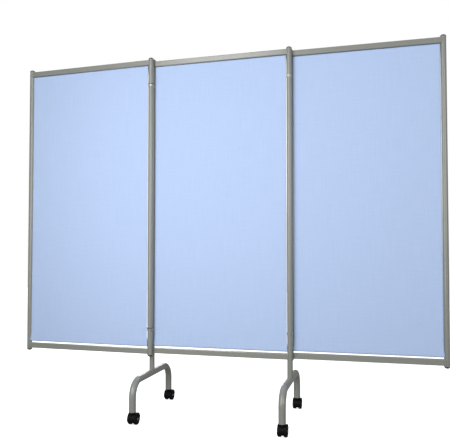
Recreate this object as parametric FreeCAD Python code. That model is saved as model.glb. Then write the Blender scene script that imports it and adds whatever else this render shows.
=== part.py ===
"""Three-panel folding privacy screen on casters, in millimetres.

The middle panel stands on two inverted-U bases.  The left panel hangs in front
of the middle panel's left post and the right panel behind its right post, so
the screen folds flat like a letter Z.  +X runs along the middle panel to the
right, -Y is the front, +Z is up, and the origin is on the floor midway between
the middle panel's two posts.
"""
import os
import math
import FreeCAD, Part

from FreeCAD import Vector as V

# ---------------------------------------------------------------- dimensions
PITCH = 677.5             # centre to centre of the two posts of one panel
STACK = 27.4              # centre to centre of the two posts at a hinge
LEFT_SWING = 1.5          # degrees that the left panel stands swung to the rear
RIGHT_SWING = 0.5         # degrees that the right panel stands swung to the rear

POST_R = 12.7             # round steel tube, 1 inch
POST_WALL = 1.0
RAIL = 25.4               # square steel tube, 1 inch
RAIL_WALL = 1.0
RAIL_CORNER = 2.5
FRAME_BOTTOM = 285.0      # underside of the bottom rails
RAIL_TOP_Z = 1719.5       # upper face of the top rails
OVERSHOOT = 5.5           # how far a post runs past the rails
SLIP = 0.05               # room round a plug, a liner or a coped joint
PAST = 1.0                # how far a cutting shape runs past what it cuts

CAP_FLANGE = 2.0
CAP_DOME = 6.0
CAP_PLUG = 12.0
CAP_WALL = 1.5

ROD_R = 6.0               # fabric rod
ROD_WALL = 0.9
ROD_END = 2.6             # from the post's surface to the end of the rod tube
PIN_R = 3.1               # nylon pin that enters the post
PIN_REACH = 7.0           # how far it goes past the post's surface
PIN_PLAY = 0.1
SHOULDER_GAP = 1.0        # from the plug's shoulder to the post
PLUG_BODY = 14.0
RING_WALL = 3.6           # ring inside a rod that its spring bears on
RING_WIDTH = 2.0
RING_GAP = 0.5
SPRING_LENGTH = 22.0
SPRING_TURNS = 7
SPRING_R = 2.8
SPRING_WIRE = 0.4         # radius of the wire
SPRING_PRELOAD = 1.0      # how much shorter it sits than the room that it has

CLOTH = 1.0               # thickness of one layer as it lies
CLOTH_SIDE = 13.2         # from a post's centre to the edge of the cloth
HEM_SIDE = 14.4           # and to the edge of the turned-back sleeve
ROD_PLAY = 0.3            # room between a rod and its sleeve
CLOTH_BOTTOM = 319.0
CLOTH_TOP = 1693.3
POCKET = 45.0             # height of a sewn rod sleeve
SEAM_H = 6.0              # height over which a sleeve is sewn shut

BAND_H = 10.0             # steel hinge band, a double loop round both posts
BAND_T = 1.2
BAND_FIT = 0.05
BAND_NECK = 8.0           # half width where the band's two loops are joined
BAND_Z = {"upper": 1589.0, "lower": 397.0}
COLLAR_H = 4.0
COLLAR_R = 14.2
COLLAR_GAP = 0.3
RIVET_R = 1.6
RIVET_HEAD_R = 3.2
RIVET_HEAD_H = 1.3
RIVET_LIFT = 0.1          # from the band to the underside of the head
RIVET_SWELL = 0.8         # how much the set end spreads
RIVET_TAIL = 2.4          # length of the set end
RIVET_TAIL_GAP = 0.4      # from the post's inner wall, which curves past the set end

BASE_R = 15.9             # round steel tube, 1 1/4 inch
BASE_WALL = 1.5
BASE_SPAN = 450.0         # front leg to rear leg
BASE_BAR_Z = 191.0        # centre of the bar under the post
BASE_BEND = 70.0          # bend radius on the centre line
LEG_END = 58.5            # height of the cut end of a leg

SOCKET_FLANGE = 1.5
SOCKET_DEPTH = 32.0
STEM_SHORT = 4.0          # how far the stem stops below the liner's top
STEM_R = 4.0
STEM_FLANGE_R = 7.5
STEM_FLANGE = 1.5
STEM_LOW = 31.0
STEM_PLAY = 0.06
WHEEL_R = 25.0            # 50 mm twin-wheel caster
WHEEL_IN = 5.9            # from the caster's middle plane to a wheel's inner face
WHEEL_OUT = 21.0          # and to its outer face
WHEEL_EDGE = 3.6
WHEEL_DISH_R = 19.0
WHEEL_DISH = 2.0
AXLE_R = 3.0
AXLE_HEAD_R = 5.0
AXLE_HEAD_H = 1.5
AXLE_PLAY = 0.3           # from a wheel's face to the axle's head
AXLE_FIT = 0.03
WHEEL_FIT = 0.06
TRAIL = 14.0              # from the swivel axis to the wheel axle
WEB = 5.5                 # half thickness of the hood's middle web
WEB_R = 20.0
HOOD_IN = 26.2
HOOD_OUT = 28.6
HOOD_EDGE = 2.2
HOOD_TOP = 55.2
HOOD_LIFT = 2.0           # how far below the axle the guard reaches
BOSS_WALL = 1.5
BRIDGE_DROP = 1.0
HOOD_TILT = 12.0          # degrees that the hood reaches lower at the front

# ---------------------------------------------------------- derived heights
FRAME_TOP = RAIL_TOP_Z + OVERSHOOT
FRAME_LOW = FRAME_BOTTOM - OVERSHOOT
POCKET_R = ROD_R + ROD_PLAY + CLOTH
ROD_TOP_Z = CLOTH_TOP - POCKET_R
ROD_BOTTOM_Z = CLOTH_BOTTOM + POCKET_R
LEG_Y = BASE_SPAN / 2
POST_X = PITCH / 2
X_AXIS, Y_AXIS, Z_AXIS = V(1, 0, 0), V(0, 1, 0), V(0, 0, 1)
nodes = {}


# ------------------------------------------------------------------ helpers
def rod_along(axis, radius, start, length):
    """A solid cylinder that starts at a point and runs along an axis."""
    return Part.makeCylinder(radius, length, start, axis)


def tube_along(axis, radius, wall, start, length):
    outer = rod_along(axis, radius, start, length)
    return outer.cut(rod_along(axis, radius - wall, start, length))


def block(x0, x1, y0, y1, z0, z1):
    return Part.makeBox(x1 - x0, y1 - y0, z1 - z0, V(x0, y0, z0))


def group(solids):
    return Part.makeCompound(solids)


# -------------------------------------------------------------- panel parts
def post(x, low, pin_sides):
    """Round post with a pin hole near each end, on the sides that hold rods."""
    shape = tube_along(Z_AXIS, POST_R, POST_WALL, V(x, 0, low), FRAME_TOP - low)
    for side in pin_sides:
        for z in (ROD_TOP_Z, ROD_BOTTOM_Z):
            hole = rod_along(V(side, 0, 0), PIN_R + PIN_PLAY, V(x, 0, z), POST_R + PAST)
            shape = shape.cut(hole)
    return shape


def rail(low):
    """Square rail, coped round the post at each end."""
    outer = block(0, PITCH, -RAIL / 2, RAIL / 2, low, low + RAIL)
    edges = [e for e in outer.Edges if e.BoundBox.XLength > RAIL]
    outer = outer.makeFillet(RAIL_CORNER, edges)
    half = RAIL / 2 - RAIL_WALL
    inner = block(0, PITCH, -half, half, low + RAIL_WALL, low + RAIL - RAIL_WALL)
    shape = outer.cut(inner)
    for x in (0, PITCH):
        cope = rod_along(Z_AXIS, POST_R + SLIP, V(x, 0, low - PAST), RAIL + 2 * PAST)
        shape = shape.cut(cope)
    half_post = POST_R / 2
    middle = block(half_post, PITCH - half_post, -RAIL, RAIL, low - PAST, low + RAIL + PAST)
    return shape.common(middle)


def cap(x, z, up):
    """Domed plastic plug in the open end of a post."""
    plug_r = POST_R - POST_WALL - SLIP
    plug = rod_along(V(0, 0, -up), plug_r, V(x, 0, z), CAP_PLUG)
    flange = rod_along(V(0, 0, up), POST_R, V(x, 0, z), CAP_FLANGE)
    ball_r = (CAP_DOME ** 2 + POST_R ** 2) / (2 * CAP_DOME)
    ball = Part.makeSphere(ball_r, V(x, 0, z + up * (CAP_FLANGE + CAP_DOME - ball_r)))
    dome = ball.common(rod_along(V(0, 0, up), POST_R, V(x, 0, z), CAP_FLANGE + CAP_DOME))
    shell = dome.fuse([flange, plug]).removeSplitter()
    hollow = rod_along(V(0, 0, -up), plug_r - CAP_WALL, V(x, 0, z), CAP_PLUG + PAST)
    return shell.cut(hollow)


def fabric_rod(z):
    """Steel tube in the sleeve, with a ring inside that the spring bears on."""
    start = POST_R + ROD_END
    end = PITCH - start
    shape = tube_along(X_AXIS, ROD_R, ROD_WALL, V(start, 0, z), end - start)
    ring_x = end - PLUG_BODY - SPRING_LENGTH - RING_WIDTH - RING_GAP
    ring = tube_along(X_AXIS, ROD_R, RING_WALL, V(ring_x, 0, z), RING_WIDTH)
    return shape.fuse(ring).removeSplitter()


def rod_plug(z, end):
    """Nylon plug in the end of a rod: body, shoulder and the pin in the post."""
    side = 1 if end == 0 else -1
    into = V(side, 0, 0)
    out = V(-side, 0, 0)
    mouth = V(end + side * (POST_R + ROD_END), 0, z)
    body = rod_along(into, ROD_R - ROD_WALL - SLIP, mouth, PLUG_BODY)
    shoulder = rod_along(out, ROD_R, mouth + out * SLIP, ROD_END - SHOULDER_GAP)
    pin = rod_along(out, PIN_R, mouth, ROD_END + PIN_REACH)
    return body.fuse([shoulder, pin]).removeSplitter()


def rod_spring(z):
    """Coil spring that pushes one plug of a rod outwards."""
    coil = Part.makeHelix(SPRING_LENGTH / SPRING_TURNS, SPRING_LENGTH - SPRING_PRELOAD, SPRING_R)
    wire = Part.Wire(coil.Edges)
    ring = Part.Wire(Part.makeCircle(SPRING_WIRE, V(SPRING_R, 0, 0), Y_AXIS))
    shape = wire.makePipeShell([ring], True, True)
    shape.rotate(V(0, 0, 0), Y_AXIS, 90)
    shape.translate(V(PITCH - POST_R - ROD_END - PLUG_BODY - SPRING_LENGTH, 0, z))
    return shape


def sleeve(rod_z, up):
    """Sleeve behind the sheet, round one rod; up is the way to the other rod."""
    def outline(radius, back_y, tip_z):
        # the back layer leaves the round part along a tangent that meets the tip
        height = abs(tip_z - rod_z)
        lean = 2 * radius ** 2 / (radius ** 2 + height ** 2)
        front = V(0, -radius, rod_z)
        back = V(0, radius * (1 - lean), rod_z + up * lean * height)
        tip_front = V(0, -radius, tip_z)
        tip_back = V(0, back_y, tip_z)
        round_part = Part.Arc(front, V(0, 0, rod_z - up * radius), back)
        edges = [round_part.toShape(), Part.makeLine(back, tip_back)]
        if tip_back != tip_front:
            edges.append(Part.makeLine(tip_back, tip_front))
        edges.append(Part.makeLine(tip_front, front))
        return Part.Face(Part.Wire(edges))
    inner_r = POCKET_R - CLOTH
    seam = rod_z + up * (POCKET - POCKET_R)
    width = V(PITCH - 2 * HEM_SIDE, 0, 0)
    outer = outline(POCKET_R, CLOTH - inner_r, seam).extrude(width)
    inner = outline(inner_r, -inner_r, seam - up * SEAM_H).extrude(width)
    return outer.cut(inner)


def cloth(front):
    """Woven sheet down the front of both rods, with a sleeve turned back at each."""
    shape = block(CLOTH_SIDE, PITCH - CLOTH_SIDE, -POCKET_R, CLOTH - POCKET_R,
                  ROD_BOTTOM_Z, ROD_TOP_Z)
    for rod_z, up in ((ROD_BOTTOM_Z, 1), (ROD_TOP_Z, -1)):
        pocket = sleeve(rod_z, up)
        pocket.translate(V(HEM_SIDE, 0, 0))
        shape = shape.fuse(pocket)
    if front > 0:
        shape.rotate(V(PITCH / 2, 0, 0), Z_AXIS, 180)
    return shape.removeSplitter()


def panel(name, post_names, low, front):
    """All pieces of one panel, with its first post on the Z axis.

    front is 1 or -1, the way along Y that the panel's front looks.
    """
    first, second = post_names
    ends = [(FRAME_TOP, 1)] if low < FRAME_LOW else [(FRAME_TOP, 1), (FRAME_LOW, -1)]
    return {
        name + "_" + first: post(0, low, [1]),
        name + "_" + second: post(PITCH, low, [-1]),
        name + "_rail_top": rail(RAIL_TOP_Z - RAIL),
        name + "_rail_bottom": rail(FRAME_BOTTOM),
        name + "_caps": group([cap(x, z, up) for x in (0, PITCH) for z, up in ends]),
        name + "_fabric": cloth(front),
        name + "_rod_top": fabric_rod(ROD_TOP_Z),
        name + "_rod_bottom": fabric_rod(ROD_BOTTOM_Z),
        name + "_rod_plugs": group([rod_plug(z, end) for z in (ROD_TOP_Z, ROD_BOTTOM_Z)
                                    for end in (0, PITCH)]),
        name + "_rod_springs": group([rod_spring(z) for z in (ROD_TOP_Z, ROD_BOTTOM_Z)]),
    }


def place(pieces, angle, x, y):
    """Turn a panel about its first post and put it in its place."""
    for name, shape in pieces.items():
        shape.rotate(V(0, 0, 0), Z_AXIS, angle)
        shape.translate(V(x, y, 0))
        nodes[name] = shape


# ------------------------------------------------------------- hinge pieces
def double_loop(low, y_far):
    """Band with one loop round each post of a hinge, joined between them."""
    inner_r = POST_R + BAND_FIT
    outer_r = inner_r + BAND_T
    y0, y1 = sorted((0, y_far))
    shape = block(-BAND_NECK, BAND_NECK, y0 + outer_r / 2, y1 - outer_r / 2, low, low + BAND_H)
    for y in (y0, y1):
        shape = shape.fuse(rod_along(Z_AXIS, outer_r, V(0, y, low), BAND_H))
    for y in (y0, y1):
        shape = shape.cut(rod_along(Z_AXIS, inner_r, V(0, y, low - PAST), BAND_H + 2 * PAST))
    return shape.removeSplitter()


def hinge(name, x, outward, y_far):
    """Bands, collars and rivets that hang one outer panel on a middle post."""
    collars = []
    rivets = []
    post_name = "middle_post_" + name
    for level, low in BAND_Z.items():
        side = V(outward, 0, 0)
        hole = rod_along(side, RIVET_R + SLIP, V(0, 0, low + BAND_H / 2), 2 * POST_R)
        band = double_loop(low, y_far).cut(hole)
        band.translate(V(x, 0, 0))
        nodes[name + "_hinge_band_" + level] = band
        hole.translate(V(x, 0, 0))
        nodes[post_name] = nodes[post_name].cut(hole)
        collar = tube_along(Z_AXIS, COLLAR_R, COLLAR_R - POST_R - BAND_FIT,
                            V(x, y_far, low + BAND_H + COLLAR_GAP), COLLAR_H)
        collars.append(collar)
        rivets.append(rivet(side, V(x, 0, low + BAND_H / 2)))
    nodes[name + "_hinge_collars"] = group(collars)
    nodes[name + "_hinge_rivets"] = group(rivets)


def rivet(side, centre):
    """Blind rivet from outside the band to inside the post."""
    seat = POST_R + BAND_FIT + BAND_T + RIVET_LIFT
    tail = POST_R - POST_WALL - RIVET_TAIL_GAP - RIVET_TAIL
    shank = rod_along(side, RIVET_R, centre + side * tail, seat - tail)
    bulb = rod_along(side, RIVET_R + RIVET_SWELL, centre + side * tail, RIVET_TAIL)
    ball_r = (RIVET_HEAD_H ** 2 + RIVET_HEAD_R ** 2) / (2 * RIVET_HEAD_H)
    ball = Part.makeSphere(ball_r, centre + side * (seat + RIVET_HEAD_H - ball_r))
    head = ball.common(rod_along(side, RIVET_HEAD_R, centre + side * seat, RIVET_HEAD_H))
    return shank.fuse([bulb, head]).removeSplitter()


# -------------------------------------------------------------- base pieces
def base_path():
    """Centre line of one inverted-U base, from the front foot to the rear."""
    y, z, r = LEG_Y, BASE_BAR_Z, BASE_BEND
    diag = r * (1 - math.sqrt(0.5))
    front_low, front_top = V(0, -y, z - r), V(0, -y + r, z)
    rear_low, rear_top = V(0, y, z - r), V(0, y - r, z)
    front_arc = Part.Arc(front_low, V(0, -y + diag, z - diag), front_top).toShape()
    rear_arc = Part.Arc(rear_top, V(0, y - diag, z - diag), rear_low).toShape()
    return Part.Wire([Part.makeLine(V(0, -y, LEG_END), front_low), front_arc,
                      Part.makeLine(front_top, rear_top), rear_arc,
                      Part.makeLine(rear_low, V(0, y, LEG_END))])


def base(x):
    path = base_path()
    start = V(0, -LEG_Y, LEG_END)
    outer = Part.Wire(Part.makeCircle(BASE_R, start, Z_AXIS))
    inner = Part.Wire(Part.makeCircle(BASE_R - BASE_WALL, start, Z_AXIS))
    shape = path.makePipeShell([outer], True, False)
    shape = shape.cut(path.makePipeShell([inner], True, False))
    shape.translate(V(x, 0, 0))
    return shape


def cope_to_base(name, x):
    """Fish-mouth the foot of a middle post over its base tube."""
    reach = 2 * POST_R
    saddle = rod_along(Y_AXIS, BASE_R + SLIP, V(x, -reach, BASE_BAR_Z), 2 * reach)
    foot = nodes[name].cut(saddle)
    keep = block(x - reach, x + reach, -reach, reach, BASE_BAR_Z, FRAME_TOP + PAST)
    nodes[name] = foot.common(keep)


# ------------------------------------------------------------------ casters
def socket(x, y):
    """Plastic liner in the end of a leg that grips the caster's stem."""
    body = rod_along(Z_AXIS, BASE_R - BASE_WALL - SLIP, V(x, y, LEG_END), SOCKET_DEPTH)
    flange = rod_along(Z_AXIS, BASE_R, V(x, y, LEG_END - SOCKET_FLANGE), SOCKET_FLANGE)
    low = LEG_END - SOCKET_FLANGE - PAST
    top = LEG_END + SOCKET_DEPTH - STEM_SHORT + PAST
    bore = rod_along(Z_AXIS, STEM_R + SLIP, V(x, y, low), top - low)
    return body.fuse(flange).removeSplitter().cut(bore)


def stem(x, y):
    """Steel stem: top half in the liner, flange, and the pivot in the hood."""
    top = LEG_END + SOCKET_DEPTH - STEM_SHORT
    flange_z = LEG_END - SOCKET_FLANGE - STEM_FLANGE
    pin = rod_along(Z_AXIS, STEM_R, V(x, y, STEM_LOW), top - STEM_LOW)
    flange = rod_along(Z_AXIS, STEM_FLANGE_R, V(x, y, flange_z), STEM_FLANGE)
    return pin.fuse(flange).removeSplitter()


def rounded_disc(centre, inner_x, outer_x, radius, edge):
    """Disc along X whose two rims are rounded."""
    shape = rod_along(X_AXIS, radius, centre + X_AXIS * inner_x, outer_x - inner_x)
    rims = [e for e in shape.Edges if e.Closed]
    return shape.makeFillet(edge, rims)


def hood(x, y):
    """Caster body: curved guard over the wheels, middle web and stem boss."""
    axle_y = y + TRAIL
    axle = V(x, axle_y, WHEEL_R)

    def disc(radius, half_width):
        return rod_along(X_AXIS, radius, axle - X_AXIS * half_width, 2 * half_width)
    guard = rounded_disc(axle, -WHEEL_OUT, WHEEL_OUT, HOOD_OUT, HOOD_EDGE)
    guard = guard.cut(disc(HOOD_IN, WHEEL_OUT + PAST))
    bridge = disc(HOOD_OUT - BRIDGE_DROP, WEB)
    reach = 2 * HOOD_OUT
    upper = block(x - reach, x + reach, axle_y - reach, axle_y + reach,
                  WHEEL_R - HOOD_LIFT, WHEEL_R + reach)
    upper.rotate(axle, X_AXIS, HOOD_TILT)
    top = guard.fuse(bridge).common(upper)
    boss_r = STEM_FLANGE_R + BOSS_WALL
    boss = rod_along(Z_AXIS, boss_r, V(x, y, WHEEL_R), HOOD_TOP - WHEEL_R)
    for side in (-1, 1):
        room = rod_along(V(side, 0, 0), HOOD_IN, axle + X_AXIS * side * WEB, boss_r)
        boss = boss.cut(room)
    shape = top.fuse([disc(WEB_R, WEB), boss]).removeSplitter()
    bore = rod_along(Z_AXIS, STEM_R + STEM_PLAY, V(x, y, STEM_LOW - PAST), HOOD_TOP)
    return shape.cut([bore, disc(AXLE_R + AXLE_FIT, WHEEL_OUT)])


def axle_pin(x, y):
    centre = V(x, y + TRAIL, WHEEL_R)
    half = WHEEL_OUT - WHEEL_DISH + AXLE_PLAY
    shape = rod_along(X_AXIS, AXLE_R, centre - X_AXIS * half, 2 * half)
    heads = [rod_along(V(side, 0, 0), AXLE_HEAD_R, centre + X_AXIS * side * half,
                       AXLE_HEAD_H) for side in (-1, 1)]
    return shape.fuse(heads).removeSplitter()


def wheel(x, y, side):
    """One wheel of the pair, dished on its outer face."""
    centre = V(x, y + TRAIL, WHEEL_R)
    near, far = sorted((side * WHEEL_IN, side * WHEEL_OUT))
    shape = rounded_disc(centre, near, far, WHEEL_R, WHEEL_EDGE)
    out = V(side, 0, 0)
    dish = Part.makeCone(WHEEL_DISH_R - WHEEL_DISH, WHEEL_DISH_R, WHEEL_DISH,
                         centre + out * (WHEEL_OUT - WHEEL_DISH), out)
    bore = rod_along(out, AXLE_R + WHEEL_FIT, centre, WHEEL_OUT + PAST)
    return shape.cut([dish, bore])


# ------------------------------------------------------------------ assemble
place(panel("middle", ("post_left", "post_right"), BASE_BAR_Z, -1), 0, -POST_X, 0)
place(panel("left", ("post_inner", "post_outer"), FRAME_LOW, 1),
      180 - LEFT_SWING, -POST_X, -STACK)
place(panel("right", ("post_inner", "post_outer"), FRAME_LOW, -1),
      RIGHT_SWING, POST_X, STACK)
hinge("left", -POST_X, -1, -STACK)
hinge("right", POST_X, 1, STACK)

for side_name, base_x in (("left", -POST_X), ("right", POST_X)):
    nodes["base_" + side_name] = base(base_x)
    cope_to_base("middle_post_" + side_name, base_x)

feet = {}
for side_name, base_x in (("left", -POST_X), ("right", POST_X)):
    feet["front_" + side_name] = (base_x, -LEG_Y)
    feet["rear_" + side_name] = (base_x, LEG_Y)
nodes["caster_sockets"] = group([socket(*spot) for spot in feet.values()])
nodes["caster_stems"] = group([stem(*spot) for spot in feet.values()])
for foot_name, spot in feet.items():
    nodes[foot_name + "_hood"] = hood(*spot)
    nodes[foot_name + "_axle"] = axle_pin(*spot)
    nodes[foot_name + "_wheel_a"] = wheel(*spot, -1)
    nodes[foot_name + "_wheel_b"] = wheel(*spot, 1)

# -------------------------------------------------------------------- export
os.makedirs("parts", exist_ok=True)
for node_name, node_shape in sorted(nodes.items()):
    node_shape.exportStep("parts/" + node_name + ".step")
    solids = node_shape.Solids
    volume = sum(s.Volume for s in solids) / 1000
    state = "ok" if all(s.isValid() for s in solids) else "INVALID"
    print("%-28s %2d solids %9.2f cm3  %s" % (node_name, len(solids), volume, state))
print(len(nodes), "nodes")
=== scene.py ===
# %% [markdown]
# # A three-panel folding screen on casters
#
# The screen is a set of welded tube frames, each with a woven cloth stretched between two
# rods.  The metal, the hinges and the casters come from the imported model, which is already
# the right shape and size, so they only need their finishes.  What a CAD solid can't show
# is made here: the cloth with its sewn sleeves and hems, the stitches, the weld beads under
# the paint, the floor, the light and the camera.  Lengths are in metres unless a name ends
# in MM.

# %% Load the frame
import math
import bmesh
import bpy
from mathutils import Matrix, Vector, noise


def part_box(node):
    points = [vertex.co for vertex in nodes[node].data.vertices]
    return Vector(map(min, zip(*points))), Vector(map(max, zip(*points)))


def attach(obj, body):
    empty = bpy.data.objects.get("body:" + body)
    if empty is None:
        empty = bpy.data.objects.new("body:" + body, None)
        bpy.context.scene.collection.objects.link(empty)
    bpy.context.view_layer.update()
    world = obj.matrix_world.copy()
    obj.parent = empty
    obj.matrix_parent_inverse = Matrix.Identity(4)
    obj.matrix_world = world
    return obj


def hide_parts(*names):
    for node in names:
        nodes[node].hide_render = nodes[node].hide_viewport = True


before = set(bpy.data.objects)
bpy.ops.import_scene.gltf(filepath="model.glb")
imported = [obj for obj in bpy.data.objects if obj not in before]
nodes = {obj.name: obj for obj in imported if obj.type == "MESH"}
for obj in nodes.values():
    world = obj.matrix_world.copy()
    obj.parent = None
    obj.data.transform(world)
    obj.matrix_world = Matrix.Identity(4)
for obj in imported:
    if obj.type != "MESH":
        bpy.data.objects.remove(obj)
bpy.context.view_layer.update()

# %% [markdown]
# Every material below is built from the same two helpers.  Colours are written the way a
# paint chart gives them, as sRGB hex, and have to be turned into linear light before a
# shader can use them.  The second helper adds one node, sets it and links it, so that each
# material reads as a short list of what is done to the surface.

# %% Colour and node helpers
def linear(hex_colour):
    """Turn an sRGB hex string into the linear RGBA that shaders use."""
    parts = [int(hex_colour[i:i + 2], 16) / 255 for i in (1, 3, 5)]
    return [c / 12.92 if c <= 0.04045 else ((c + 0.055) / 1.055) ** 2.4 for c in parts] + [1.0]


def add(owner, kind, inputs=None, **settings):
    """Add a node to a material or world; an input is a value or the socket that feeds it."""
    node = owner.node_tree.nodes.new(kind)
    for name, value in settings.items():
        setattr(node, name, value)
    for key, value in (inputs or {}).items():
        if isinstance(value, bpy.types.NodeSocket):
            owner.node_tree.links.new(value, node.inputs[key])
        else:
            node.inputs[key].default_value = value
    return node


def new_material(name):
    """An empty node material and its output node."""
    material = bpy.data.materials.new(name)
    material.use_nodes = True
    material.node_tree.nodes.clear()
    output = add(material, "ShaderNodeOutputMaterial")
    return material, output


def finish_material(material, output, principled):
    """Link the shader to the output and report what was made."""
    material.node_tree.links.new(principled.outputs[0], output.inputs["Surface"])
    print("material", material.name, "with", len(material.node_tree.nodes), "nodes")
    return material


def per_mm(size_mm):
    """Texture scale, in repeats per metre, of a pattern of that size."""
    return 1000.0 / size_mm


print("mid grey #808080 is", round(linear("#808080")[0], 3), "in linear light")

# %% [markdown]
# The frame is mild steel tube with a baked powder coat.  The powder melts into a film that
# is never quite flat: light breaks up over a pattern of shallow dimples 2 to 3 mm across,
# called orange peel.  The coat is semi-gloss, so a lamp draws a soft vertical streak on a
# round post.  Noise at three sizes gives the dimples, a slow drift of tone along the tube
# and the faint rubbed patches that hands and storage leave.

# %% Powder-coated steel tube
DRIFT_MM = 180
RUB_MM = 35
PEEL_MM = 2.6


def powder_coat(name, colour, worn_colour):
    """Semi-gloss powder coat with orange peel and rubbed patches."""
    material, output = new_material(name)
    place = add(material, "ShaderNodeTexCoord").outputs["Object"]
    drift = add(material, "ShaderNodeTexNoise",
                {"Vector": place, "Scale": per_mm(DRIFT_MM), "Detail": 2.0, "Roughness": 0.5})
    rub = add(material, "ShaderNodeTexNoise",
              {"Vector": place, "Scale": per_mm(RUB_MM), "Detail": 6.0, "Roughness": 0.65})
    peel = add(material, "ShaderNodeTexNoise",
               {"Vector": place, "Scale": per_mm(PEEL_MM), "Detail": 1.0, "Roughness": 0.4})
    rubbed = add(material, "ShaderNodeMapRange",
                 {"Value": rub.outputs["Fac"], "From Min": 0.60, "From Max": 0.74})
    tone = add(material, "ShaderNodeMix",
               {0: drift.outputs["Fac"], 6: linear(colour), 7: linear(worn_colour)},
               data_type="RGBA")
    scuffed = add(material, "ShaderNodeMath",
                  {0: rubbed.outputs["Result"], 1: 0.18}, operation="MULTIPLY")
    paint = add(material, "ShaderNodeMix",
                {0: scuffed.outputs[0], 6: tone.outputs[2], 7: linear("#9C9E99")},
                data_type="RGBA")
    gloss = add(material, "ShaderNodeMapRange",
                {"Value": rub.outputs["Fac"], "To Min": 0.30, "To Max": 0.46})
    bump = add(material, "ShaderNodeBump",
               {"Height": peel.outputs["Fac"], "Strength": 0.22, "Distance": 0.0002})
    shader = add(material, "ShaderNodeBsdfPrincipled",
                 {"Base Color": paint.outputs[2], "Roughness": gloss.outputs["Result"],
                  "Normal": bump.outputs[0], "IOR": 1.5, "Coat Weight": 0.7,
                  "Coat Roughness": 0.24})
    return finish_material(material, output, shader)


frame_paint = powder_coat("powder_coated_steel", "#888A83", "#90928B")

# %% [markdown]
# The cloth is a plain weave of polyester and cotton, about twenty threads to the
# centimetre.  Real threads are 0.5 mm apart, far too fine to show in a render, so the
# weave is drawn at 0.9 mm, where it still shows in a close view.  What the eye picks up from
# a distance is the unevenness of the yarn: long pale and dark slubs that run up the warp and
# shorter ones along the weft.  The pattern is laid on the cloth's own UV map, which is in
# metres, so it follows the cloth round its rods.

# %% Woven screen cloth
THREAD_MM = 0.9
WARP_SLUB_WIDE_MM = 3.2
WARP_SLUB_LONG_MM = 150
WEFT_SLUB_WIDE_MM = 3.0
WEFT_SLUB_LONG_MM = 90
FUZZ_MM = 6


def woven_cloth(name, colour, shade):
    """Plain weave: threads that cross, slubs along warp and weft, a little fuzz, and painted
    shade in the weave's dips.
    """
    material, output = new_material(name)
    flat = add(material, "ShaderNodeTexCoord").outputs["UV"]
    across = add(material, "ShaderNodeSeparateXYZ", {"Vector": flat})
    turns = 2 * math.pi * per_mm(2 * THREAD_MM)
    waves = []
    for axis in ("X", "Y"):
        angle = add(material, "ShaderNodeMath",
                    {0: across.outputs[axis], 1: turns}, operation="MULTIPLY")
        waves.append(add(material, "ShaderNodeMath", {0: angle.outputs[0]}, operation="SINE"))
    cross = add(material, "ShaderNodeMath",
                {0: waves[0].outputs[0], 1: waves[1].outputs[0]}, operation="MULTIPLY")
    warp_place = add(material, "ShaderNodeMapping",
                     {"Vector": flat,
                      "Scale": (per_mm(WARP_SLUB_WIDE_MM), per_mm(WARP_SLUB_LONG_MM), 1.0)})
    weft_place = add(material, "ShaderNodeMapping",
                     {"Vector": flat,
                      "Scale": (per_mm(WEFT_SLUB_LONG_MM), per_mm(WEFT_SLUB_WIDE_MM), 1.0)})
    warp = add(material, "ShaderNodeTexNoise",
               {"Vector": warp_place.outputs[0], "Scale": 1.0, "Detail": 3.0})
    weft = add(material, "ShaderNodeTexNoise",
               {"Vector": weft_place.outputs[0], "Scale": 1.0, "Detail": 3.0})
    fuzz = add(material, "ShaderNodeTexNoise",
               {"Vector": flat, "Scale": per_mm(FUZZ_MM), "Detail": 4.0, "Roughness": 0.7})
    slub = add(material, "ShaderNodeMath",
               {0: warp.outputs["Fac"], 1: weft.outputs["Fac"]}, operation="ADD")
    mottled = add(material, "ShaderNodeMath",
                  {0: slub.outputs[0], 1: fuzz.outputs["Fac"]}, operation="ADD")
    # The darker colour comes from the yarn's slubs and fuzz, which is the yarn's own tone. It
    # also falls on the weave cells that the bump lowers, and there it is painted shade.
    slub_tone_and_weave_shade = add(material, "ShaderNodeMath",
                  {0: cross.outputs[0], 1: 0.16, 2: mottled.outputs[0]},
                  operation="MULTIPLY_ADD")
    amount = add(material, "ShaderNodeMapRange",
                 {"Value": slub_tone_and_weave_shade.outputs[0], "From Min": 0.9, "From Max": 2.1})
    tint = add(material, "ShaderNodeMix",
               {0: amount.outputs["Result"], 6: linear(shade), 7: linear(colour)},
               data_type="RGBA")
    height = add(material, "ShaderNodeMath",
                 {0: cross.outputs[0], 1: 0.5, 2: slub.outputs[0]}, operation="MULTIPLY_ADD")
    bump = add(material, "ShaderNodeBump",
               {"Height": height.outputs[0], "Strength": 0.35, "Distance": 0.0002})
    shader = add(material, "ShaderNodeBsdfPrincipled",
                 {"Base Color": tint.outputs[2], "Normal": bump.outputs[0],
                  "Roughness": 0.88, "IOR": 1.45, "Specular IOR Level": 0.25,
                  "Sheen Weight": 0.25, "Sheen Roughness": 0.5})
    return finish_material(material, output, shader)


screen_cloth = woven_cloth("woven_polycotton", "#C1D5F7", "#B2C8EE")
thread_cloth = woven_cloth("polyester_thread", "#CBDBF8", "#BDD0F2")

# %% [markdown]
# The remaining finishes are small parts, but each is a different process.  The hinge bands
# are cold-rolled strip with a satin nickel plate, so they keep fine draw lines along the
# strip.  Rods, stems, axles and rivets are zinc plated, which is a little blue.  Metal has
# no colour under its surface, so its finish is a colour for the reflection and a roughness
# that follows the draw lines.

# %% Metals
DRAW_LINE_MM = 14


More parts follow.
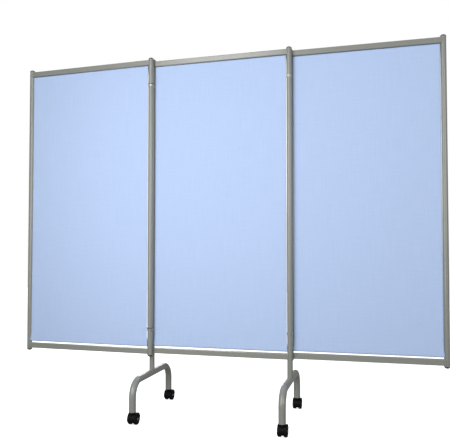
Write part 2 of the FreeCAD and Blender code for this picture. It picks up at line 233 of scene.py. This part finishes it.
def plated_steel(name, colour, roughness, streak_mm):
    """Plated steel whose roughness varies along fine lines left by drawing."""
    material, output = new_material(name)
    place = add(material, "ShaderNodeTexCoord").outputs["Object"]
    drawn = add(material, "ShaderNodeMapping",
                {"Vector": place,
                 "Scale": (per_mm(DRAW_LINE_MM), per_mm(DRAW_LINE_MM), per_mm(streak_mm))})
    lines = add(material, "ShaderNodeTexNoise",
                {"Vector": drawn.outputs[0], "Scale": 1.0, "Detail": 5.0, "Roughness": 0.7})
    dull = add(material, "ShaderNodeMapRange",
               {"Value": lines.outputs["Fac"], "To Min": roughness * 0.7,
                "To Max": roughness * 1.4})
    bump = add(material, "ShaderNodeBump",
               {"Height": lines.outputs["Fac"], "Strength": 0.15, "Distance": 0.0001})
    shader = add(material, "ShaderNodeBsdfPrincipled",
                 {"Base Color": linear(colour), "Metallic": 1.0,
                  "Roughness": dull.outputs["Result"], "Normal": bump.outputs[0]})
    return finish_material(material, output, shader)


nickel_band = plated_steel("nickel_plated_strip", "#B4B4AE", 0.36, 0.5)
zinc_steel = plated_steel("zinc_plated_steel", "#B9BDC1", 0.32, 0.8)

# %% [markdown]
# Caps, collars and casters are moulded plastic.  The mould is spark-eroded to a fine grain,
# which is why black plastic shows no sharp reflection.  The grain is a small bump, and a
# coarser noise makes some places duller and dustier than others.

# %% Moulded plastics
MARKS_MM = 9


def moulded_plastic(name, colour, roughness, grain_mm, scuff):
    """Grained plastic with a little dust, whose share is given by scuff."""
    material, output = new_material(name)
    place = add(material, "ShaderNodeTexCoord").outputs["Object"]
    grain = add(material, "ShaderNodeTexNoise",
                {"Vector": place, "Scale": per_mm(grain_mm), "Detail": 2.0})
    marks = add(material, "ShaderNodeTexNoise",
                {"Vector": place, "Scale": per_mm(MARKS_MM), "Detail": 6.0, "Roughness": 0.7})
    worn = add(material, "ShaderNodeMapRange",
               {"Value": marks.outputs["Fac"], "From Min": 0.52, "From Max": 0.75,
                "To Max": scuff})
    dusty = add(material, "ShaderNodeMix",
                {0: worn.outputs["Result"], 6: linear(colour), 7: linear("#55534E")},
                data_type="RGBA")
    gloss = add(material, "ShaderNodeMapRange",
                {"Value": marks.outputs["Fac"], "To Min": roughness - 0.08,
                 "To Max": roughness + 0.12})
    bump = add(material, "ShaderNodeBump",
               {"Height": grain.outputs["Fac"], "Strength": 0.3, "Distance": 0.0001})
    shader = add(material, "ShaderNodeBsdfPrincipled",
                 {"Base Color": dusty.outputs[2], "Roughness": gloss.outputs["Result"],
                  "Normal": bump.outputs[0], "IOR": 1.53, "Specular IOR Level": 0.12})
    return finish_material(material, output, shader)


cap_plastic = moulded_plastic("moulded_polyethylene", "#1E1F1B", 0.38, 0.8, 0.05)
collar_nylon = moulded_plastic("moulded_nylon_collar", "#5E5F5B", 0.50, 0.6, 0.05)
hood_nylon = moulded_plastic("moulded_nylon_hood", "#060607", 0.55, 0.7, 0.02)
tread_nylon = moulded_plastic("moulded_nylon_wheel", "#070708", 0.60, 0.7, 0.05)

# %% [markdown]
# A CAD node arrives as one mesh with a plain finish.  Its name says what it is, so a short
# table from a word in the name to a material dresses all of them at once.

# %% Dress the CAD nodes
finishes = [("hinge_band", nickel_band), ("collars", collar_nylon), ("plugs", collar_nylon),
            ("caps", cap_plastic), ("sockets", hood_nylon), ("hood", hood_nylon),
            ("wheel", tread_nylon), ("rivets", zinc_steel), ("stems", zinc_steel),
            ("axle", zinc_steel), ("rod_", zinc_steel), ("post", frame_paint),
            ("rail", frame_paint), ("base", frame_paint)]


def dress(obj, material):
    """Give an object one material in all its slots."""
    obj.data.materials.clear()
    obj.data.materials.append(material)


for name, node in nodes.items():
    for word, material in finishes:
        if word in name:
            dress(node, material)
            break
print("dressed", sum(1 for n in nodes if "fabric" not in n), "CAD nodes")

# %% [markdown]
# Each panel is drawn in its own plan: across from its first post to its second, to the rear,
# and up.  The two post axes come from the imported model, so the cloth and the welds follow
# whatever angle a panel stands at.

# %% Where each panel stands
def centre(node):
    low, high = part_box(node)
    return (Vector(low) + Vector(high)) / 2


class Panel:
    """One panel's plan: post axes, directions and the heights of its parts."""

    def __init__(self, name, first, second):
        self.name = name
        self.body = name + "_panel"
        start, end = centre(f"{name}_{first}"), centre(f"{name}_{second}")
        start.z = end.z = 0
        self.start = start
        self.pitch = (end - start).length
        self.across = (end - start).normalized()
        self.back = Vector((0, 0, 1)).cross(self.across)
        if self.back.y < 0:
            self.back.negate()
        self.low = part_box(f"{name}_fabric")[0][2]
        self.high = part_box(f"{name}_fabric")[1][2]
        rod_low, rod_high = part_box(f"{name}_rod_bottom")
        self.rod_r = (rod_high[2] - rod_low[2]) / 2

    def at(self, along, depth, height):
        """A point from its distance off the first post, depth to the rear and height."""
        spot = self.start + self.across * along + self.back * depth
        return Vector((spot.x, spot.y, height))


panels = [Panel("middle", "post_left", "post_right"),
          Panel("left", "post_inner", "post_outer"),
          Panel("right", "post_inner", "post_outer")]
post_low, post_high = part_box("middle_post_left")
post_r = (post_high[0] - post_low[0]) / 2
for panel in panels:
    print(panel.name, "pitch", round(panel.pitch, 4), "cloth", round(panel.low, 4),
          "to", round(panel.high, 4))

# %% [markdown]
# The cloth is one strip per panel.  It runs down the front of both rods, is folded back
# round each and is sewn to itself 45 mm away, which makes a sleeve.  Cut flat, it is the
# visible height plus the two sleeves.  In the frame it is pulled taut from top to bottom, so
# its sides draw in slightly between the corners, and the lower corners spread a little over
# the fronts of the posts.  A cloth simulation would lose the crisp folds at the rods, so a
# grid is laid along the fold line instead and given the small waves that tension leaves.

# %% The fold line of one cloth
CLOTH_T = 0.0006
TUCK = 1.5 * CLOTH_T
ROD_PLAY = 0.0004
SLEEVE = 0.045
HEM_SET_IN = 0.0013
COLUMNS = 110
MAIN_ROWS = 118
ROUND_ROWS = 12
SLEEVE_ROWS = 6
side_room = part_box("middle_fabric")[0][0] - centre("middle_post_left").x


def fold_radius(panel):
    """Radius of the cloth's middle layer round a rod."""
    return panel.rod_r + ROD_PLAY + CLOTH_T / 2


def sleeve_line(panel, end, up):
    """Points (depth, height) from the sewn edge, round the rod and along the front."""
    r = fold_radius(panel)
    rod_z = end + up * (r + CLOTH_T / 2)
    seam_z = end + up * SLEEVE
    height = abs(seam_z - rod_z)
    lean = 2 * r ** 2 / (r ** 2 + height ** 2)
    back = Vector((r * (1 - lean), rod_z + up * lean * height))
    edge = Vector((-r + TUCK, seam_z))
    points = [tuple(edge.lerp(back, i / SLEEVE_ROWS)) for i in range(SLEEVE_ROWS)]
    first = -math.asin(lean * height / r)
    for i in range(ROUND_ROWS + 1):
        turn = first + (math.pi - first) * i / ROUND_ROWS
        points.append((r * math.cos(turn), rod_z - up * r * math.sin(turn)))
    for i in range(1, SLEEVE_ROWS + 1):
        points.append((-r, rod_z + (seam_z - rod_z) * i / SLEEVE_ROWS))
    return points


def fold_line(panel):
    """Points (depth, height) of one whole cloth, from its lower hem to its upper hem."""
    bottom = sleeve_line(panel, panel.low, 1)
    top = list(reversed(sleeve_line(panel, panel.high, -1)))
    low, high = bottom[-1][1], top[0][1]
    depth = -fold_radius(panel)
    main = [(depth, low + (high - low) * i / MAIN_ROWS) for i in range(1, MAIN_ROWS)]
    return bottom + main + top


print("fold line has", len(fold_line(panels[0])), "points; the cloth starts",
      round(side_room * 1000, 1), "mm from a post's axis")

# %% [markdown]
# Where each point lies is worked out from its place on the fold line.  Three things move it:
# the taut sides draw in by a millimetre at half height, the lower corners spread by three
# millimetres and step forward to clear the posts, and slow waves of a millimetre or two run
# through the middle, which is what makes the light on real cloth uneven.  The waves die
# away towards the rods and the sides, where the cloth is held.

# %% The lie of the cloth
DRAW_IN = 0.0010
CORNER_SPREAD = 0.0030
CORNER_STEP = 0.0026
CORNER_HIGH = 0.050
STEP_WIDE = 0.03
BACK_STARTS = 1.2          # in fold radii behind the front layer
CALM_ENDS = 0.05           # as a share of the height
CALM_SIDES = 0.05
EDGE_WAVE = 0.15           # what is left of the waves at the sides
WAVE_BROAD = 0.0024
BROAD_ACROSS = 4.2         # waves per metre
BROAD_UP = 1.6             # waves per cloth
WAVE_FINE = 0.0006
FINE_ACROSS = 16.0
FINE_UP = 2.2
FINE_SEED = 5
WAVE_SEED = {"middle": 0.0, "left": 11.0, "right": 23.0}


def smooth(value):
    """Ease from 0 to 1 and stay there."""
    value = max(0.0, min(1.0, value))
    return value * value * (3 - 2 * value)


def lie(panel, share, depth, height):
    """Place of a cloth point: share is 0 at the first post and 1 at the second."""
    r = fold_radius(panel)
    behind = smooth((depth + r) / (BACK_STARTS * r))
    up = (height - panel.low) / (panel.high - panel.low)
    spread = (1 - smooth((height - panel.low) / CORNER_HIGH)) * (1 - behind)
    half = panel.pitch / 2 - side_room - HEM_SET_IN * behind + CORNER_SPREAD * spread
    half -= DRAW_IN * (1 - (2 * up - 1) ** 2) * (1 - behind)
    off = (2 * share - 1) * half
    near = half - abs(off)
    depth -= CORNER_STEP * spread * (1 - smooth(near / STEP_WIDE))
    side_calm = EDGE_WAVE + (1 - EDGE_WAVE) * smooth(near / CALM_SIDES)
    calm = smooth(min(up, 1 - up) / CALM_ENDS) * side_calm
    seed = WAVE_SEED[panel.name]
    broad = noise.noise(Vector((off * BROAD_ACROSS + seed, up * BROAD_UP, seed)))
    fine = noise.noise(Vector((off * FINE_ACROSS + seed, up * FINE_UP, seed + FINE_SEED)))
    depth += calm * (WAVE_BROAD * broad + WAVE_FINE * fine)
    return panel.at(panel.pitch / 2 + off, depth, height)


print("the waves are up to", round((WAVE_BROAD + WAVE_FINE) * 1000, 1), "mm deep")

# %% [markdown]
# The grid operator makes the rows and columns, and each vertex is then moved to its place
# on the fold line.  Its UV is its place on the flat cloth in metres, which is what the weave
# reads.  A live Solidify modifier gives the cloth its thickness.

# %% How a cloth is made
def make_cloth(panel):
    """Lay one panel's cloth and return it with its cut width and length."""
    line = fold_line(panel)
    rows = len(line) - 1
    steps = [0.0]
    for (d0, h0), (d1, h1) in zip(line, line[1:]):
        steps.append(steps[-1] + math.hypot(d1 - d0, h1 - h0))
    width = panel.pitch - 2 * side_room
    bm = bmesh.new()
    bmesh.ops.create_grid(bm, x_segments=COLUMNS, y_segments=rows, size=0.5)
    uv = bm.loops.layers.uv.new("flat")
    flat_place = {}
    for vert in bm.verts:
        share = vert.co.x + 0.5
        row = round((vert.co.y + 0.5) * rows)
        flat_place[vert.index] = ((share - 0.5) * width, steps[row])
        vert.co = lie(panel, share, *line[row])
    for face in bm.faces:
        for loop in face.loops:
            loop[uv].uv = flat_place[loop.vert.index]
        face.smooth = True
    mesh = bpy.data.meshes.new(panel.name + "_cloth")
    front = bm.faces[:][len(bm.faces) // 2]
    if front.normal.dot(panel.back) > 0:
        bmesh.ops.reverse_faces(bm, faces=bm.faces)
    bm.to_mesh(mesh)
    bm.free()
    cloth = bpy.data.objects.new(panel.name + "_cloth", mesh)
    bpy.context.collection.objects.link(cloth)
    dress(cloth, screen_cloth)
    thick = cloth.modifiers.new("thickness", "SOLIDIFY")
    thick.thickness = CLOTH_T
    thick.offset = 0
    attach(cloth, panel.body)
    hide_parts(panel.name + "_fabric")
    print(cloth.name, "cut", round(width, 3), "x", round(steps[-1], 3), "m")
    return cloth, (width, steps[-1])

# %% [markdown]
# The seams that close the sleeves and the narrow side hems are lockstitched in a thread of
# the same blue.  At this size a stitch is only a short bead of thread lying in a dimple, so
# each one is a small stretched icosphere.  Four millimetres to a stitch is a usual setting
# for furnishing cloth.

# %% How the stitches are made
STITCH_PITCH = 0.004
STITCH_LENGTH = 0.0030
STITCH_R = 0.00042
STITCH_LIFT = 0.3          # of the thread's radius
FIRST_STITCH = 0.003
SIDE_HEM = 0.009


def stitch_row(bm, spots, surface_out):
    """Lay one bead between each two neighbouring spots of a row."""
    for here, there in zip(spots, spots[1:]):
        along = (there - here).normalized()
        side = along.cross(surface_out).normalized()
        out = side.cross(along)
        turn = Matrix((along, side, out)).transposed().to_4x4()
        size = Matrix.Diagonal((STITCH_LENGTH / 2, STITCH_R, STITCH_R, 1))
        lift = CLOTH_T / 2 + STITCH_R * STITCH_LIFT
        place = Matrix.Translation((here + there) / 2 + out * lift)
        bmesh.ops.create_icosphere(bm, subdivisions=1, radius=1.0, matrix=place @ turn @ size)


def make_stitches(panel):
    """Stitch the two sleeve seams and the two side hems of one cloth."""
    width = panel.pitch - 2 * side_room
    face_depth = -fold_radius(panel)
    out = -panel.back
    bm = bmesh.new()
    count = int((width - STITCH_PITCH) / STITCH_PITCH)
    shares = [FIRST_STITCH / width + i * STITCH_PITCH / width for i in range(count)]
    for seam_z in (panel.low + SLEEVE, panel.high - SLEEVE):
        stitch_row(bm, [lie(panel, s, face_depth, seam_z) for s in shares], out)
    tall = panel.high - panel.low - 2 * SLEEVE
    heights = [panel.low + SLEEVE + STITCH_PITCH * (i + 1)
               for i in range(int(tall / STITCH_PITCH) - 1)]
    for share in (SIDE_HEM / width, 1 - SIDE_HEM / width):
        stitch_row(bm, [lie(panel, share, face_depth, z) for z in heights], out)
    mesh = bpy.data.meshes.new(panel.name + "_stitches")
    bm.to_mesh(mesh)
    bm.free()
    stitches = bpy.data.objects.new(panel.name + "_stitches", mesh)
    bpy.context.collection.objects.link(stitches)
    dress(stitches, thread_cloth)
    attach(stitches, panel.body)
    print(stitches.name, len(mesh.polygons), "faces")
    return stitches

# %% [markdown]
# A cloth and its stitches are one sheet, held by the two rods.  Each panel's cloth is laid and
# then stitched.

# %% Hang the cloths
for panel in panels:
    cloth, cut = make_cloth(panel)
    stitches = make_stitches(panel)

# %% [markdown]
# Each rail is coped, which means that its end is cut to the curve of the post, and welded
# round.  Under the paint the weld is a low bead.  A closed curve that follows the joint and
# has a small round bevel makes that bead, and it is then turned into a mesh.  The bead is
# kept under a millimetre proud, because the frames lie 2 mm apart when the screen is folded.

# %% One weld bead
BEAD_R = 0.0009
BEAD_ROUNDNESS = 2


def bead(name, points, body):
    """A round bead of paint-covered weld along a closed line of points."""
    curve = bpy.data.curves.new(name, "CURVE")
    curve.dimensions = "3D"
    curve.bevel_depth = BEAD_R
    curve.bevel_resolution = BEAD_ROUNDNESS
    spline = curve.splines.new("POLY")
    spline.points.add(len(points) - 1)
    for spot, point in zip(spline.points, points):
        spot.co = (*point, 1)
    spline.use_cyclic_u = True
    holder = bpy.data.objects.new(name + "_line", curve)
    mesh = bpy.data.meshes.new_from_object(holder)
    mesh.name = name
    for face in mesh.polygons:
        face.use_smooth = True
    obj = bpy.data.objects.new(name, mesh)
    bpy.context.collection.objects.link(obj)
    bpy.data.objects.remove(holder)
    bpy.data.curves.remove(curve)
    dress(obj, frame_paint)
    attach(obj, body)
    return obj


print("a bead is", round(2 * BEAD_R * 1000, 1), "mm thick")

# %% [markdown]
# Seen along the rail, the joint is the rail's own outline: a square with rounded corners.
# Each of its points is then carried along the rail until it meets the round post, which
# gives the saddle shape of a coped end.  The long flats are split first, so that the line
# can bend round the post.

# %% The outline of a rail
BEAD_SINK = 0.0004
RAIL_CORNER = 0.0025
LONGEST_STEP = 0.0022


def rail_outline(half, corner, steps=4):
    """Points (depth, height) round a square tube with rounded corners."""
    points = []
    for quarter in range(4):
        for i in range(steps + 1):
            turn = math.pi / 2 * (quarter + i / steps)
            mid = math.pi / 2 * quarter + math.pi / 4
            cx = math.copysign(half - corner, math.cos(mid))
            cz = math.copysign(half - corner, math.sin(mid))
            points.append((cx + corner * math.cos(turn), cz + corner * math.sin(turn)))
    return points


def denser(points, longest):
    """Split the long steps of a closed line so that it can bend round a post."""
    dense = []
    for (x0, y0), (x1, y1) in zip(points, points[1:] + points[:1]):
        parts = max(1, math.ceil(math.hypot(x1 - x0, y1 - y0) / longest))
        dense += [(x0 + (x1 - x0) * i / parts, y0 + (y1 - y0) * i / parts)
                  for i in range(parts)]
    return dense


print("a rail's outline has", len(rail_outline(post_r, RAIL_CORNER)), "points before it is split")

# %% Weld the rails
for panel in panels:
    for level in ("top", "bottom"):
        low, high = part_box(f"{panel.name}_rail_{level}")
        rail_z, half = (low[2] + high[2]) / 2, (high[2] - low[2]) / 2
        section = denser(rail_outline(half - BEAD_SINK, RAIL_CORNER), LONGEST_STEP)
        for end, side in ((0.0, 1), (panel.pitch, -1)):
            spots = []
            for depth, height in section:
                gone = math.sqrt(max(0.0, post_r ** 2 - depth ** 2))
                spots.append(panel.at(end + side * gone, depth, rail_z + height))
            which = "inner" if end == 0.0 else "outer"
            bead(f"{panel.name}_weld_{level}_{which}", spots, panel.body)

# %% [markdown]
# Each middle post stands on the top of its leg tube, and its weld is the line where one
# round tube meets another at a right angle.

# %% Weld the posts to the legs
RING_POINTS = 40

for side in ("left", "right"):
    base_low, base_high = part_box("base_" + side)
    post = centre("middle_post_" + side)
    base_r = (base_high[0] - base_low[0]) / 2
    bar_z = base_high[2] - base_r
    ring = []
    for i in range(RING_POINTS):
        turn = 2 * math.pi * i / RING_POINTS
        dx, dy = post_r * math.cos(turn), post_r * math.sin(turn)
        height = bar_z + math.sqrt(base_r ** 2 - dx ** 2)
        ring.append(Vector((post.x + dx, post.y + dy, height)))
    bead(f"base_{side}_weld", ring, "middle_panel")

# %% [markdown]
# The floor is a wide sheet of white paper in a white room.  A studio burns such a set out to
# pure white by lighting the background on its own, so that hardly a shadow is left under the
# feet.  Here the paper glows less near the screen and fully further out, and the room is
# white to the camera.  The paper and the white room would also flood the screen with light
# from all sides, so the paper is hidden from bounced light and the room shines much more
# weakly on the screen than it looks.

# %% Floor
FLOOR_SIZE = 9.0
FLOOR_DROP = 0.0004
GLOW_NEAR = 0.78
GLOW_FROM = 1.3
GLOW_TO = 3.6
PAPER_DRIFT_MM = 400


def make_floor():
    """A square of glowing paper just under the wheels."""
    bm = bmesh.new()
    bmesh.ops.create_grid(bm, x_segments=1, y_segments=1, size=FLOOR_SIZE)
    bmesh.ops.translate(bm, verts=bm.verts, vec=(0, 0, -FLOOR_DROP))
    mesh = bpy.data.meshes.new("floor")
    bm.to_mesh(mesh)
    bm.free()
    floor = bpy.data.objects.new("floor", mesh)
    bpy.context.collection.objects.link(floor)
    paper, output = new_material("white_paper")
    place = add(paper, "ShaderNodeTexCoord").outputs["Object"]
    away = add(paper, "ShaderNodeVectorMath", {0: place}, operation="LENGTH")
    glow = add(paper, "ShaderNodeMapRange",
               {"Value": away.outputs["Value"], "From Min": GLOW_FROM, "From Max": GLOW_TO,
                "To Min": GLOW_NEAR, "To Max": 1.0})
    drift = add(paper, "ShaderNodeTexNoise",
                {"Vector": place, "Scale": per_mm(PAPER_DRIFT_MM)})
    tone = add(paper, "ShaderNodeMix",
               {0: drift.outputs["Fac"], 6: linear("#F4F4F4"), 7: linear("#FAFAFA")},
               data_type="RGBA")
    shader = add(paper, "ShaderNodeBsdfPrincipled",
                 {"Base Color": tone.outputs[2], "Roughness": 0.9,
                  "Specular IOR Level": 0.0, "Emission Color": linear("#FFFFFF"),
                  "Emission Strength": glow.outputs["Result"]})
    dress(floor, finish_material(paper, output, shader))
    floor.visible_diffuse = False
    floor.visible_glossy = False
    return floor


make_floor()

# %% [markdown]
# Three soft lamps light the front of the screen.  The main one is a broad box to the left of
# its middle, which makes the upper middle of the cloth the brightest place.  A high lamp to
# the left puts a sheen on the middle top rail and near the tops of the posts, and a fill
# from the right keeps the far panel from going dull.  A fourth lamp stands behind, so that
# the rear can be looked at too.  A lamp is a tool and not a thing in the room, so none of
# them shows to the camera.

# %% Lamps
def area_lamp(name, place, aim, size, power):
    """A square soft lamp that shines from its place towards its aim; power is in watts."""
    lamp = bpy.data.lights.new(name, "AREA")
    lamp.shape = "SQUARE"
    lamp.size = size
    lamp.energy = power
    holder = bpy.data.objects.new(name, lamp)
    holder.location = place
    holder.rotation_euler = (Vector(aim) - Vector(place)).to_track_quat("-Z", "Y").to_euler()
    holder.visible_camera = False
    bpy.context.collection.objects.link(holder)
    print("lamp", name, size, "m wide,", power, "W")
    return holder


area_lamp("soft_box", place=(-0.42, -1.7, 1.14), aim=(0.6, 0.0, 0.6), size=1.4, power=20.0)
area_lamp("high_lamp", place=(-0.70, -2.6, 2.62), aim=(0.2, 0.0, 1.2), size=1.0, power=21.0)
area_lamp("fill", place=(2.54, -2.6, 1.77), aim=(0.3, 0.0, 0.9), size=1.4, power=33.0)
area_lamp("rear_box", place=(-1.4, 2.8, 2.0), aim=(0.0, 0.0, 0.9), size=1.6, power=45.0)

# %% [markdown]
# The room is made in the world's nodes.  A Light Path node tells a camera ray from all the
# others, so that the room can look pure white and yet give only as much light as ROOM_LIGHT
# says.

# %% Room
ROOM_LIGHT = 0.25


def white_room():
    """A world that is white to look at but lights the set only with ROOM_LIGHT."""
    world = bpy.data.worlds.new("white_room")
    world.use_nodes = True
    world.node_tree.nodes.clear()
    ray = add(world, "ShaderNodeLightPath")
    level = add(world, "ShaderNodeMapRange",
                {"Value": ray.outputs["Is Camera Ray"], "To Min": ROOM_LIGHT, "To Max": 1.0})
    shell = add(world, "ShaderNodeBackground",
                {"Color": linear("#FFFFFF"), "Strength": level.outputs["Result"]})
    add(world, "ShaderNodeOutputWorld", {"Surface": shell.outputs[0]})
    bpy.context.scene.world = world
    print("world", world.name, "lights with", ROOM_LIGHT)


white_room()
bpy.context.scene.view_settings.view_transform = "Standard"

# %% [markdown]
# The camera stands to the right of the screen's middle, at about waist height, and looks a
# little up and to the left.  The lens is a short standard one, and a small upward shift
# keeps the posts nearly upright in the view.

# %% Camera
SENSOR_MM = 36.0
LENS_MM = 44.72
SHIFT_RIGHT = -0.0053
SHIFT_UP = 0.0399
CLIP_END = 60
CAMERA_PLACE = (0.7261, -2.5606, 0.7608)
LOOK_UP = 1.883            # degrees
TURN_LEFT = 14.956

lens = bpy.data.cameras.new("camera")
lens.sensor_width = SENSOR_MM
lens.lens = LENS_MM
lens.shift_x = SHIFT_RIGHT
lens.shift_y = SHIFT_UP
lens.clip_end = CLIP_END
camera = bpy.data.objects.new("camera", lens)
camera.location = CAMERA_PLACE
camera.rotation_euler = (math.radians(90 + LOOK_UP), 0, math.radians(TURN_LEFT))
bpy.context.collection.objects.link(camera)
bpy.context.scene.camera = camera
print("camera", LENS_MM, "mm,", round(camera.location.length, 2), "m from the screen's foot")
